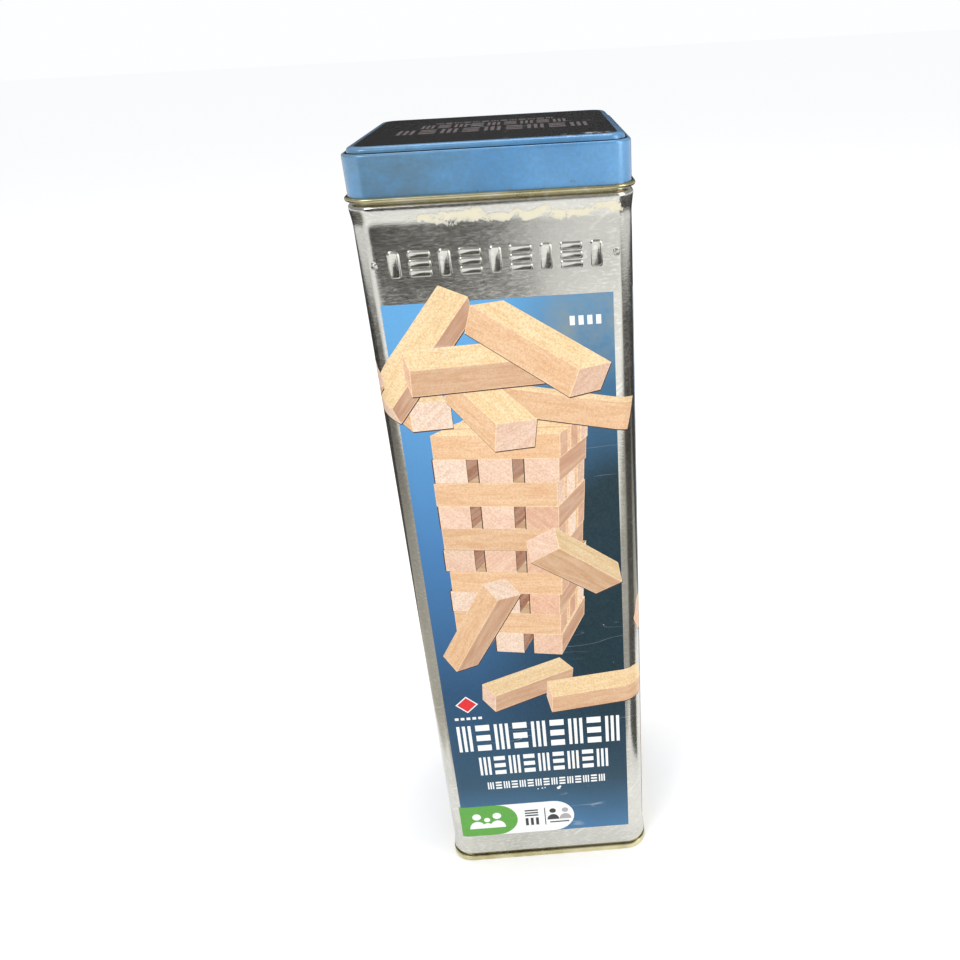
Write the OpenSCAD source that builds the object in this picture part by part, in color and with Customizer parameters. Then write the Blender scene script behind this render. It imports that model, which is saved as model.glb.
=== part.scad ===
// Tumbling tower game: wooden blocks stacked three to a layer inside a tall
// square tin with a slip-on lid. The tin stands on its seamed bottom end at z = 0,
// centred on the Z axis. Its printed front faces -Y.

/* [Blocks] */
// Width of one block; three side by side make the length of one block
block_w = 24; // [20:0.5:24.5]
// Thickness of one block
block_h = 17; // [14:0.5:18]
// Bevel along every edge of a block
block_bevel = 0.8; // [0.3:0.1:2]
// Gap between neighbouring blocks of a layer
block_gap = 0.15; // [0.05:0.05:0.4]

/* [Tin] */
// Width of the tin across its flat panels
tin_w = 79.2; // [79:0.2:84]
// Outer radius of the tin's upright corners
corner_r = 7.4; // [7:0.1:8]
// Thickness of the tinplate
sheet_t = 0.25; // [0.2:0.05:0.35]
// Height of the bottom end's panel above the rim that the tin stands on
floor_z = 2.6; // [2.4:0.1:4]
// Free height between the top layer and the top of the lid
head_room = 3.5; // [3:0.1:6]

/* [Lid] */
// Height of the lid's skirt, from its curled hem to its rounded top edge
skirt_h = 12.4; // [9:0.1:20]
// Height of the raised panel above the lid's top edge
step_h = 1.6; // [0.8:0.1:2.5]
// Radius of the lid's rounded top edge, at the middle of the sheet
edge_r = 0.6; // [0.4:0.05:0.7]
// Radius of the curled hem, at the middle of the sheet
hem_r = 0.5; // [0.3:0.05:0.6]

/* [Embossed frieze] */
// Height of the middle of the frieze
frieze_z = 247; // [200:1:250]
// Height of one upright bar of the frieze
frieze_h = 7.2; // [4:0.2:9]
// How far the frieze stands out of the panel
frieze_rise = 0.35; // [0.2:0.05:0.5]

/* [Leaflet] */
// Side of the folded rules leaflet
leaflet_w = 66; // [40:1:70]
// Thickness of the folded leaflet
leaflet_h = 0.8; // [0.6:0.1:1.5]

/* [Hidden] */
$fn = 96;
LAYERS = 16;
ROW = 3;
ROW_NAMES = ["a", "b", "c"];

function block_name(layer, place) =
    str("layer_", layer < 10 ? "0" : "", layer, "_block_", ROW_NAMES[place]);

block_l = ROW * block_w;
tower_top = floor_z + LAYERS * block_h;
half_w = tin_w / 2;
flat_w = tin_w - 2 * corner_r;

// Heights of the lid, from the top down
lid_top = tower_top + head_room;
edge_z = lid_top - step_h;
hem_z = edge_z - skirt_h;
top_mid = lid_top - sheet_t / 2;
edge_mid = edge_z - sheet_t / 2;

// Middle of the sheet, measured outwards from the face of a flat panel
panel_s = -sheet_t / 2;
neck_s = panel_s - 0.35;
lid_s = neck_s + sheet_t + 0.25;

// The mouth's inward curl
mouth_r = 0.6;
mouth_z = edge_z - 1.85;

// The double seam that joins the bottom end to the wall
seam_h = 2.4;
seam_gap = 0.03;
cover_hook_s = panel_s + sheet_t + seam_gap;
body_hook_s = cover_hook_s + sheet_t + seam_gap;
seam_s = body_hook_s + sheet_t + seam_gap;
chuck_s = panel_s - sheet_t - seam_gap;
floor_mid = floor_z - sheet_t / 2;

function arc(centre, r, from, to, steps) =
    [for (i = [0 : steps]) let (a = from + (to - from) * i / steps) centre + r * [cos(a), sin(a)]];

// The sheet's outline: a path thickened to both sides, with mitred bends
function unit(v) = v / norm(v);
function left_of(v) = [-v.y, v.x];
function before(path, i) = unit(path[max(i, 1)] - path[max(i, 1) - 1]);
function after(path, i) = let (j = min(i, len(path) - 2)) unit(path[j + 1] - path[j]);
function mitre(path, i) =
    let (n = left_of(unit(before(path, i) + after(path, i))))
    n / max(0.4, n * left_of(after(path, i)));
function thickened(path, t) = concat(
    [for (i = [0 : len(path) - 1]) path[i] + t / 2 * mitre(path, i)],
    [for (i = [len(path) - 1 : -1 : 0]) path[i] - t / 2 * mitre(path, i)]
);

// Paths through the middle of the sheet: [distance out from the panel's face, height]
wall_path = concat(
    [
        [body_hook_s, seam_h - 0.55],
        [body_hook_s, 0.75],
        [body_hook_s - 0.2, 0.56],
        [panel_s + 0.2, 0.56],
        [panel_s, 0.75],
        [panel_s, seam_h + 0.5],
        [panel_s + 0.25, seam_h + 1.2],
        [panel_s + 0.5, seam_h + 2],
        [panel_s + 0.5, seam_h + 2.8],
        [panel_s + 0.25, seam_h + 4.2],
        [panel_s, seam_h + 5.6],
        [panel_s, hem_z - 8],
        [panel_s + 0.15, hem_z - 6.4],
        [panel_s + 0.4, hem_z - 5.1],
        [panel_s + 0.55, hem_z - 3.8],
        [panel_s + 0.55, hem_z - 1.7],
        [panel_s + 0.4, hem_z - 1],
        [neck_s + 0.3, hem_z - 0.6],
        [neck_s, hem_z - 0.1],
    ],
    arc([neck_s - mouth_r, mouth_z], mouth_r, 0, 225, 5)
);

end_path = [
    [cover_hook_s, 1.2],
    [cover_hook_s, seam_h - 0.25],
    [cover_hook_s + 0.17, seam_h - 0.07],
    [seam_s - 0.17, seam_h - 0.07],
    [seam_s, seam_h - 0.25],
    [seam_s, 0.35],
    [seam_s - 0.18, sheet_t / 2],
    [chuck_s + 0.2, sheet_t / 2],
    [chuck_s, 0.35],
    [chuck_s, floor_mid - 0.25],
    [chuck_s - 0.25, floor_mid],
    [chuck_s - 1.9, floor_mid],
    [chuck_s - 2.5, floor_mid - 0.5],
    [chuck_s - 4.1, floor_mid - 0.5],
    [chuck_s - 4.7, floor_mid],
    [-corner_r, floor_mid],
];

lid_path = concat(
    arc([lid_s + hem_r + 0.05, hem_z + hem_r + sheet_t / 2], hem_r, 75, -180, 7),
    [[lid_s, hem_z + 1.6]],
    arc([lid_s - edge_r, edge_mid - edge_r], edge_r, 0, 90, 4),
    [
        [-0.85, edge_mid],
        [-1.05, edge_mid - 0.35],
        [-1.35, edge_mid - 0.35],
        [-1.5, edge_mid + 0.1],
        [-1.7, top_mid - 0.75],
        [-2.3, top_mid - 0.2],
        [-3.3, top_mid],
        [-corner_r, top_mid],
    ]
);

// A sheet profile carried round the tin: four flat sides and four upright corners
module swept_sheet(path) {
    profile = thickened(path, sheet_t);
    for (a = [0 : 90 : 270]) {
        rotate([0, 0, a]) {
            translate([half_w, flat_w / 2, 0])
                rotate([90, 0, 0])
                    linear_extrude(flat_w) polygon(profile);
            translate([flat_w / 2, flat_w / 2, 0])
                rotate_extrude(angle = 90)
                    translate([corner_r, 0]) polygon(profile);
        }
    }
}

// The flat middle of an end or of the lid, from its lower face up
module centre_plate(z) {
    translate([-flat_w / 2, -flat_w / 2, z])
        cube([flat_w, flat_w, sheet_t]);
}

// The locked side seam, folded inwards down the middle of the back
module side_seam() {
    seam_w = 5;
    seam_t = 0.9;
    seam_low = seam_h + 5.6;
    translate([-seam_w / 2, half_w - seam_t - sheet_t / 2, seam_low])
        cube([seam_w, seam_t, hem_z - 8 - seam_low]);
}

// Stacked-block ornament pressed out of the panel: three ends, then one long side
module frieze() {
    bars = 9;
    pitch = flat_w / bars;
    for (i = [0 : bars - 1]) {
        upright = i % 2 == 0;
        translate([(i - (bars - 1) / 2) * pitch, 0, frieze_z]) {
            if (upright) {
                frieze_bar(pitch * 0.42, frieze_h);
            } else {
                for (level = [-1 : 1]) {
                    translate([0, 0, level * frieze_h * 0.36])
                        frieze_bar(pitch * 0.84, frieze_h * 0.26);
                }
            }
        }
    }
}

module frieze_bar(w, h) {
    depth = frieze_rise + sheet_t / 2;
    translate([-w / 2, -half_w - frieze_rise, -h / 2])
        cube([w, depth, h]);
}

module tin_body() {
    color("silver") {
        swept_sheet(wall_path);
        side_seam();
        frieze();
        rotate([0, 0, 180]) frieze();
    }
}

module tin_bottom() {
    color("darkkhaki") {
        swept_sheet(end_path);
        centre_plate(floor_z - sheet_t);
    }
}

module lid() {
    color("steelblue") {
        swept_sheet(lid_path);
        centre_plate(lid_top - sheet_t);
    }
}

// A sheet folded once, its two leaves lying flat on the top layer
module rules_leaflet() {
    leaf_t = leaflet_h / 3;
    low = leaf_t / 2;
    high = leaflet_h - leaf_t / 2;
    fold = -leaflet_w / 2 + leaf_t;
    path = [
        [leaflet_w / 2, low],
        [fold, low],
        [fold - leaf_t / 2, leaflet_h / 2],
        [fold, high],
        [leaflet_w / 2 - 1, high],
    ];
    color("ivory")
        translate([0, leaflet_w / 2, tower_top])
            rotate([90, 0, 0])
                linear_extrude(leaflet_w) polygon(thickened(path, leaf_t));
}

// A rectangle with its four corners cut off
function cut_rectangle(a, b, c) = [
    [a / 2 - c, -b / 2], [a / 2, -b / 2 + c], [a / 2, b / 2 - c], [a / 2 - c, b / 2],
    [-a / 2 + c, b / 2], [-a / 2, b / 2 - c], [-a / 2, -b / 2 + c], [-a / 2 + c, -b / 2],
];

// A block lying along X with its centre at the origin
module bevelled_block() {
    intersection() {
        linear_extrude(block_h, center = true)
            polygon(cut_rectangle(block_l, block_w, block_bevel));
        rotate([90, 0, 0])
            linear_extrude(block_w, center = true)
                polygon(cut_rectangle(block_l, block_h, block_bevel));
        rotate([90, 0, 90])
            linear_extrude(block_l, center = true)
                polygon(cut_rectangle(block_w, block_h, block_bevel));
    }
}

// Blocks run along X in odd layers and along Y in even ones
module block(layer, place) {
    color("burlywood")
        translate([0, 0, floor_z + (layer - 0.5) * block_h])
            rotate([0, 0, layer % 2 == 0 ? 90 : 0])
                translate([0, (place - 1) * (block_w + block_gap), 0])
                    bevelled_block();
}

tin_body();
tin_bottom();
lid();
rules_leaflet();
for (layer = [1 : LAYERS], place = [0 : ROW - 1]) {
    block(layer, place);
}
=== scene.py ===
"""Looks for the tumbling tower game in its square tin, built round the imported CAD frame.

Lengths in this script are millimetres; meshes are written in metres. The tin's printed front
faces -Y. A place on the tin's wall is (u, z): u runs round the wall from the middle of the front,
towards +X, and z is the height.
"""

import math
import random
from collections import Counter, namedtuple

import bpy
from mathutils import Matrix, Vector
from mathutils.geometry import convex_hull_2d, delaunay_2d_cdt


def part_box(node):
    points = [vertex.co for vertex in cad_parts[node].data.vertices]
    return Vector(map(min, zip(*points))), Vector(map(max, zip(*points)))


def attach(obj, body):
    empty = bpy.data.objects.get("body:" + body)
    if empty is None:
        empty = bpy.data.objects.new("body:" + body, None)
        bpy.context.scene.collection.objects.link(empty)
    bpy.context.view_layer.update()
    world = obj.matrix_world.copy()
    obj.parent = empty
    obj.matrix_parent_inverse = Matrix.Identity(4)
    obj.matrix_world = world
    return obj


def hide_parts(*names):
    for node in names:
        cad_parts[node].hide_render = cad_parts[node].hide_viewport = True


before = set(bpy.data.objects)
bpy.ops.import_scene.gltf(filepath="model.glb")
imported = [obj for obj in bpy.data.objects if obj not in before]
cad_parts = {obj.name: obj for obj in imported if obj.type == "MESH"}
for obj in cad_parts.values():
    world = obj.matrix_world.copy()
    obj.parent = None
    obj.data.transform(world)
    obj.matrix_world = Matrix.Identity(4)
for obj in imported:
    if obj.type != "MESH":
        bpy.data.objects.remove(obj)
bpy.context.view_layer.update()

MM = 0.001

# ---- sizes, from the frame


def high(node):
    """A CAD node's highest corner, in millimetres."""
    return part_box(node)[1] / MM


def low(node):
    """A CAD node's lowest corner, in millimetres."""
    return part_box(node)[0] / MM


SHEET = 0.25           # thickness of the tinplate
PLY = SHEET + 0.03     # one layer of the bottom seam, with the air beside it
CORNER = 7.4           # radius of the tin's upright corners
CORNER_STEPS = 14
STEP = 1.6             # the lid's raised panel above its top edge

HALF = high("tin_bottom").x - 3 * PLY
FLAT = HALF - CORNER
ARC = CORNER * math.pi / 2
SIDE = 2 * FLAT + ARC
HEM = low("lid").z
LID_TOP = high("lid").z
EDGE = LID_TOP - STEP
FLOOR_Z = low("layer_01_block_b").z

# The printed panel on each wall, and the embossed frieze above it
ART_LEFT, ART_RIGHT = -34.4, 33.1
ART_LOW, ART_HIGH = 13.6, 235.7
FRIEZE_Z, FRIEZE_H = 247.0, 7.2

# ---- camera, light and floor

LENS = 32.6
CAMERA_AT = Vector((12.6, -289.1, 304.7)) * MM
CAMERA_LOOK = Vector((0.0277, 0.8765, -0.4807))
CAMERA_ROLL = math.radians(-3.02)
CAMERA_SHIFT = (-0.105, 0.020)
WORLD_LIGHT, WORLD_SHINE = 1.0, 0.42

# Soft boxes, in metres: place, size, watts and colour; all aim at the middle of the tin
SOFT_BOXES = {
    "key": ((-0.55, -0.75, 0.95), (0.5, 0.5), 4.5, (1, 1, 1)),
    "fill": ((0.9, -0.35, 0.55), (0.35, 0.9), 3, (1.0, 0.96, 0.88)),
    "back": ((0.1, 0.5, 1.5), (0.8, 0.4), 3, (1, 1, 1)),
}
LIT = Vector((0, 0, 0.16))


def placed(name, data):
    """A new object in the scene."""
    made = bpy.data.objects.new(name, data)
    bpy.context.scene.collection.objects.link(made)
    return made


def make_camera():
    """A phone held above the tin and looking down on it."""
    data = bpy.data.cameras.new("camera")
    data.sensor_width = 36
    data.lens = LENS
    data.shift_x, data.shift_y = CAMERA_SHIFT
    data.clip_start = 0.01
    camera = placed("camera", data)
    look = CAMERA_LOOK.to_track_quat("-Z", "Y").to_matrix()
    turn = look @ Matrix.Rotation(CAMERA_ROLL, 3, "Z")
    camera.matrix_world = Matrix.Translation(CAMERA_AT) @ turn.to_4x4()
    bpy.context.scene.camera = camera


def soft_box(name, at, size, watts, colour):
    """A rectangular lamp that aims at the middle of the tin."""
    data = bpy.data.lights.new(name, "AREA")
    data.shape = "RECTANGLE"
    data.size, data.size_y = size
    data.energy = watts
    data.color = colour
    light = placed(name, data)
    aim = (LIT - Vector(at)).to_track_quat("-Z", "Y").to_matrix()
    light.matrix_world = Matrix.Translation(at) @ aim.to_4x4()


def make_studio():
    """A white room, darker in reflections, with three soft boxes."""
    bpy.context.scene.view_settings.view_transform = "Standard"
    world = bpy.data.worlds.new("studio")
    bpy.context.scene.world = world
    world.use_nodes = True
    tree = world.node_tree
    background = tree.nodes["Background"]
    background.inputs["Color"].default_value = (0.985, 0.992, 1.0, 1)
    path = tree.nodes.new("ShaderNodeLightPath")
    strength = tree.nodes.new("ShaderNodeMapRange")
    strength.inputs["To Min"].default_value = WORLD_LIGHT
    strength.inputs["To Max"].default_value = WORLD_SHINE
    tree.links.new(path.outputs["Is Glossy Ray"], strength.inputs["Value"])
    tree.links.new(strength.outputs["Result"], background.inputs["Strength"])
    for name, settings in SOFT_BOXES.items():
        soft_box(name, *settings)


def flat_card(name, corners, material):
    """A flat four-cornered object of the studio, in metres."""
    data = bpy.data.meshes.new(name)
    data.from_pydata(corners, [], [(0, 1, 2, 3)])
    data.materials.append(material)
    card = placed(name, data)
    return card


def level_card(left, right, near, far, z=0.001):
    """The corners of a card lying just above the floor."""
    return [(left, near, z), (right, near, z), (right, far, z), (left, far, z)]


def upright_card(left, right, y, height):
    """The corners of a card standing on the floor."""
    return [(left, y, 0), (right, y, 0), (right, y, height), (left, y, height)]


def make_floor(material):
    reach = 12.0
    flat_card("floor", level_card(-reach, reach, -reach, reach, 0), material)


def make_flag(name, corners, material):
    """A dark card that shows only in reflections, to give the metal its contrast."""
    flag = flat_card(name, corners, material)
    for ray in ("camera", "diffuse", "shadow", "transmission"):
        setattr(flag, f"visible_{ray}", False)


# ---- mesh helpers


def make_piece(name, points, faces, materials, body):
    """A mesh object made from millimetre points, riding on a body."""
    data = bpy.data.meshes.new(name)
    data.from_pydata([Vector(p) * MM for p in points], [], faces)
    for material in materials:
        data.materials.append(material)
    data.polygons.foreach_set("use_smooth", [True] * len(data.polygons))
    data.set_sharp_from_angle(angle=math.radians(40))
    piece = placed(name, data)
    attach(piece, body)
    return piece


def on_wall(u, z, out):
    """The point on the tin's wall at (u, z), a little out of its surface."""
    side = round(u / SIDE)
    along = u - side * SIDE
    beyond = max(abs(along) - FLAT, 0.0) / CORNER
    reach = math.copysign(min(abs(along), FLAT), along)
    radius = CORNER + out
    x = reach + math.copysign(radius * math.sin(beyond), along)
    y = -FLAT - radius * math.cos(beyond)
    turn = side * math.pi / 2
    return (
        x * math.cos(turn) - y * math.sin(turn),
        x * math.sin(turn) + y * math.cos(turn),
        z,
    )


def arc(centre, radius, start, end, steps):
    turns = [math.radians(start + (end - start) * i / steps) for i in range(steps + 1)]
    return [(centre[0] + radius * math.cos(t), centre[1] + radius * math.sin(t)) for t in turns]


def filleted(path, radius, steps=5):
    """The path with each inner corner rounded, and a support point beside each round."""
    support = 0.35
    made = [Vector(path[0])]
    for before, here, after in zip(path, path[1:], path[2:]):
        here, back, on = Vector(here), Vector(before) - Vector(here), Vector(after) - Vector(here)
        cut = min(radius, back.length * 0.45, on.length * 0.45)
        start, end = here + back.normalized() * cut, here + on.normalized() * cut
        if back.length > 2 * (cut + support):
            made.append(start + back.normalized() * support)
        for i in range(steps + 1):
            t = i / steps
            made.append(start * (1 - t) ** 2 + here * 2 * t * (1 - t) + end * t * t)
        if on.length > 2 * (cut + support):
            made.append(end + on.normalized() * support)
    return made + [Vector(path[-1])]


def thickened(path, thickness):
    """A closed outline: the path pushed half the thickness to each side."""
    left, right = [], []
    for i, here in enumerate(path):
        back = here - path[i - 1] if i else path[1] - here
        on = path[i + 1] - here if i < len(path) - 1 else back
        way = (back.normalized() + on.normalized()).normalized()
        normal = Vector((-way.y, way.x))
        left.append(here + normal * thickness / 2)
        right.append(here - normal * thickness / 2)
    return left + right[::-1]


def ring(s, z):
    """Points round the tin at distance s out of the panels, with a support point by each corner."""
    points = []
    support = 0.6
    for side in range(4):
        turn = Matrix.Rotation(side * math.pi / 2, 2)
        here = [(-FLAT + support, -HALF - s), (FLAT - support, -HALF - s)]
        here += arc((FLAT, -FLAT), max(CORNER + s, 0.0), -90, 0, CORNER_STEPS)
        points += [(*(turn @ Vector(p)), z) for p in here]
    return points


def swept(outline):
    """(points, faces) of an outline carried round the tin's square plan."""
    points = []
    for s, z in outline:
        points += ring(s, z)
    per = len(points) // len(outline)
    faces = []
    for i in range(len(outline)):
        a, b = i * per, (i + 1) % len(outline) * per
        for j in range(per):
            k = (j + 1) % per
            faces.append((a + j, b + j, b + k, a + k))
    return points, faces


# ---- node materials


class Nodes:
    """A short way to write a node material."""

    def __init__(self, name):
        self.material = bpy.data.materials.new(name)
        self.material.use_nodes = True
        self.tree = self.material.node_tree
        self.shader = self.tree.nodes["Principled BSDF"]

    def add(self, kind, inputs=None, **settings):
        node = self.tree.nodes.new(kind)
        for key, value in settings.items():
            setattr(node, key, value)
        for key, value in (inputs or {}).items():
            self.put(value, node.inputs[key])
        return node

    def put(self, value, socket):
        if isinstance(value, bpy.types.NodeSocket):
            self.tree.links.new(value, socket)
        else:
            socket.default_value = value

    def set(self, **inputs):
        for key, value in inputs.items():
            self.put(value, self.shader.inputs[key.replace("_", " ")])

    def coords(self, kind="Object"):
        return self.add("ShaderNodeTexCoord").outputs[kind]

    def mapped(self, source, scale, turn=(0, 0, 0)):
        inputs = {"Vector": source, "Scale": scale, "Rotation": turn}
        return self.add("ShaderNodeMapping", inputs).outputs[0]

    def noise(self, vector, scale, detail=3.0, rough=0.55, warp=0.0):
        inputs = {"Vector": vector, "Scale": scale, "Detail": detail, "Roughness": rough,
                  "Distortion": warp}
        return self.add("ShaderNodeTexNoise", inputs).outputs["Fac"]

    def ramp(self, factor, *stops):
        node = self.add("ShaderNodeValToRGB", {"Fac": factor})
        elements = node.color_ramp.elements
        while len(elements) < len(stops):
            elements.new(0.5)
        for element, (at, colour) in zip(elements, stops):
            element.position = at
            element.color = (*colour, 1)
        return node.outputs[0]

    def band(self, factor, start, end, dark=0.0, light=1.0):
        inputs = {"Value": factor, "From Min": start, "From Max": end, "To Min": dark,
                  "To Max": light}
        return self.add("ShaderNodeMapRange", inputs).outputs[0]

    def mix(self, factor, a, b, blend="MIX"):
        node = self.add("ShaderNodeMix", data_type="RGBA", blend_type=blend)
        self.put(factor, node.inputs[0])
        for value, socket in ((a, node.inputs[6]), (b, node.inputs[7])):
            flat = isinstance(value, tuple) and len(value) == 3
            self.put((*value, 1) if flat else value, socket)
        return node.outputs[2]

    def math(self, operation, a, b=0.0):
        node = self.add("ShaderNodeMath", operation=operation)
        self.put(a, node.inputs[0])
        self.put(b, node.inputs[1])
        return node.outputs[0]

    def product(self, first, *others):
        for other in others:
            first = self.math("MULTIPLY", first, other)
        return first

    def within(self, value, start, end, soft):
        """1 where the value lies between start and end, fading over the soft width."""
        rise = self.band(value, start - soft, start + soft)
        fall = self.band(value, end - soft, end + soft, 1.0, 0.0)
        return self.product(rise, fall)

    def split(self, vector):
        return self.add("ShaderNodeSeparateXYZ", {"Vector": vector}).outputs

    def bump(self, height, strength, distance, onto=None):
        inputs = {"Height": height, "Strength": strength, "Distance": distance}
        node = self.add("ShaderNodeBump", inputs)
        if onto is not None:
            self.put(onto, node.inputs["Normal"])
        return node.outputs[0]


def floor_material():
    m = Nodes("pale_floor")
    grain = m.noise(m.coords(), 60, 4)
    colour = m.ramp(grain, (0.3, (0.965, 0.965, 0.965)), (0.7, (0.98, 0.98, 0.98)))
    m.set(Base_Color=colour, Roughness=0.9, Specular_IOR_Level=0.0)
    return m.material


def flag_material(name, near_tone, far_tone):
    """Matt card, darker away from the tin."""
    m = Nodes(name)
    vector = m.coords()
    away = m.math("ABSOLUTE", m.split(vector)[0])
    tone = m.mix(m.band(away, 0.12, 0.50), near_tone, far_tone)
    fleck = m.band(m.noise(vector, 400, 2), 0.3, 0.7, 0.0, 0.1)
    m.set(Base_Color=m.mix(fleck, tone, (0.2, 0.19, 0.18)), Roughness=0.9)
    return m.material


def make_flags():
    """Cards before and behind the tin, and on the floor round it, that darken its reflections."""
    dark = flag_material("dark_flag", (0.065, 0.063, 0.060), (0.015, 0.014, 0.013))
    brown = flag_material("brown_flag", (0.50, 0.48, 0.43), (0.13, 0.12, 0.105))
    grey = flag_material("grey_flag", (0.38, 0.37, 0.35), (0.30, 0.29, 0.27))
    near = [(-0.20, -0.30), (0.20, -0.30), (0.16, -0.115), (-0.16, -0.062)]
    make_flag("flag_low", [(*corner, 0.001) for corner in near], grey)
    wedge = [(0.085, -0.085), (1.0, -0.60), (1.0, 0.12), (0.085, -0.03)]
    make_flag("flag_wedge", [(*corner, 0.002) for corner in wedge], dark)
    make_flag("flag_front", upright_card(-0.7, 0.0, -0.72, 0.75), dark)
    make_flag("flag_back", upright_card(-0.7, 0.7, 1.25, 0.8), dark)
    for name, side, gap in (("left", -1, 0.10), ("right", 1, 0.17)):
        make_flag(f"flag_{name}", level_card(gap * side, side, -0.34, 0.10), brown)
        make_flag(f"flag_behind_{name}", level_card(0.03 * side, side, 0.10, 1.2), dark)


def dents(m, vector):
    """Broad, shallow unevenness of thin sheet."""
    return m.bump(m.noise(vector, 22, 1.5), 0.25, 0.0010)


def scratches(m, vector, spread=0.60):
    """Fine pale scratches: the thin contour of a stretched noise, here and there."""
    warped = m.noise(m.mapped(vector, (9, 9, 60), (0.0, 0.5, 0.3)), 3, 1, 0.4, 0.1)
    line = m.math("SUBTRACT", warped, 0.5)
    thin = m.band(m.math("ABSOLUTE", line), 0.0, 0.006, 1.0, 0.0)
    patch = m.band(m.noise(vector, 30, 2), spread, spread + 0.08)
    return m.product(thin, patch)


def specks(m, vector, scale, rare, patches):
    """Small chips: the peaks of a fine noise, gathered in patches."""
    fine = m.band(m.noise(vector, scale, 3, 0.75), rare, rare + 0.03)
    patch = m.band(m.noise(vector, patches, 2), 0.50, 0.60)
    return m.product(fine, patch)


# The strip of old glue on the front, in metres: its heights and its span across the tin
GLUE_HEIGHTS = (0.2578, 0.2602)
GLUE_SPAN = (-0.021, 0.036)


def glue_residue(m, vector):
    """A ragged strip of old tape glue under the lid, on the front only."""
    x, y, z = m.split(vector)
    ragged = m.noise(m.mapped(vector, (1, 1, 0.6)), 130, 5, 0.65)
    height = m.math("ADD", z, m.band(ragged, 0.3, 0.7, -0.0018, 0.0018))
    strip = m.within(height, *GLUE_HEIGHTS, 0.0003)
    across = m.math("ADD", x, m.band(ragged, 0.3, 0.7, -0.006, 0.006))
    span = m.within(across, *GLUE_SPAN, 0.0004)
    front = m.band(y, -0.0370, -0.0374)
    worn = m.band(m.noise(vector, 260, 3, 0.7), 0.36, 0.44)
    return m.product(strip, span, front, worn, 0.85)


def tinplate_material():
    """Rolled tinplate: short level flecks, a cloudy shine, rubbed patches and old glue."""
    m = Nodes("tinplate")
    vector = m.coords()
    rolled = m.noise(m.mapped(vector, (620, 620, 2300)), 1, 3, 0.65)
    cloud = m.noise(vector, 26, 4, 0.6)
    colour = m.mix(m.band(cloud, 0.35, 0.7), (0.50, 0.495, 0.455), (0.66, 0.65, 0.60))
    colour = m.mix(m.band(rolled, 0.50, 0.66, 0.0, 0.55), colour, (0.86, 0.85, 0.80))
    colour = m.mix(scratches(m, vector), colour, (0.93, 0.93, 0.90))
    turned = m.mapped(vector, (1, 1, 1), (0.0, -0.9, 0.0))
    rubbed = m.noise(m.mapped(turned, (900, 40, 45)), 1, 3, 0.6)
    patches = m.band(m.noise(vector, 34, 2), 0.50, 0.60)
    rubbed = m.product(m.band(rubbed, 0.60, 0.66, 0.0, 0.45), patches)
    colour = m.mix(rubbed, colour, (0.92, 0.90, 0.85))
    glue = glue_residue(m, vector)
    colour = m.mix(glue, colour, (0.72, 0.67, 0.50))
    both = m.math("ADD", m.product(rolled, 0.6), m.product(cloud, 0.4))
    rough = m.band(both, 0.35, 0.7, 0.13, 0.27)
    rough = m.math("ADD", rough, m.product(glue, 0.4))
    fine = m.bump(rolled, 0.22, 0.00006, dents(m, vector))
    fine = m.bump(glue, 0.2, 0.0001, fine)
    m.set(Base_Color=colour, Metallic=m.band(glue, 0.0, 1.0, 1.0, 0.1), Roughness=rough, Normal=fine)
    return m.material


def gold_material():
    """Tinplate under a clear golden lacquer, cloudy and rubbed pale in places."""
    m = Nodes("gold_tinplate")
    vector = m.coords()
    cloud = m.noise(vector, 60, 4, 0.6)
    worn = m.band(m.noise(vector, 240, 3, 0.7), 0.58, 0.68)
    colour = m.ramp(cloud, (0.3, (0.44, 0.39, 0.19)), (0.7, (0.80, 0.74, 0.48)))
    colour = m.mix(m.product(worn, 0.6), colour, (0.72, 0.70, 0.62))
    fine = m.bump(m.noise(vector, 900, 3), 0.2, 0.0002)
    m.set(Base_Color=colour, Metallic=1.0, Roughness=m.band(cloud, 0.3, 0.7, 0.22, 0.36), Normal=fine)
    return m.material


def lacquer_material(name, deep, bright, chipped, mottle_and_reflection_tone, metallic, coat, specular):
    """Lacquer on tin: mottled, with a painted dull reflection towards the left, scuffed at one corner,
    chipped, scratched.
    """
    m = Nodes(name)
    vector = m.coords()
    cloud = m.noise(vector, 34, 4, 0.6)
    colour = m.ramp(cloud, (0.3, deep), (0.7, bright))
    mottle = m.band(m.noise(vector, 950, 3, 0.6), 0.38, 0.62, 0.0, 0.22)
    colour = m.mix(mottle, colour, mottle_and_reflection_tone)
    x, y, z = m.split(vector)
    # Painted reflection: a dull, darker tone laid over the left side of the lid (towards -X).
    left_painted_reflection = m.noise(m.mapped(vector, (30, 30, 60)), 1, 5, 0.7)
    left_painted_reflection = m.product(m.band(left_painted_reflection, 0.40, 0.62, 0.15, 0.80), m.band(x, 0.010, -0.022))
    colour = m.mix(left_painted_reflection, colour, mottle_and_reflection_tone)
    corner = m.product(m.within(x, 0.023, 0.034, 0.003), m.within(y, -0.038, -0.031, 0.001))
    corner = m.product(corner, m.band(z, (LID_TOP - 0.7) * MM, (LID_TOP - 0.3) * MM))
    scuffs = m.product(corner, m.band(m.noise(vector, 300, 4, 0.7), 0.52, 0.60))
    colour = m.mix(m.product(scuffs, 0.7), colour, (0.60, 0.62, 0.64))
    colour = m.mix(m.product(specks(m, vector, scale=420, rare=0.66, patches=45), 0.7), colour, chipped)
    colour = m.mix(scratches(m, vector), colour, (0.55, 0.70, 0.86))
    peel = m.bump(m.noise(vector, 700, 2), 0.10, 0.0002, dents(m, vector))
    m.set(Base_Color=colour, Metallic=metallic, Roughness=m.band(cloud, 0.3, 0.7, 0.24, 0.34),
          Coat_Weight=coat, Coat_Roughness=0.12, Specular_IOR_Level=specular, Normal=peel)
    return m.material


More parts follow.
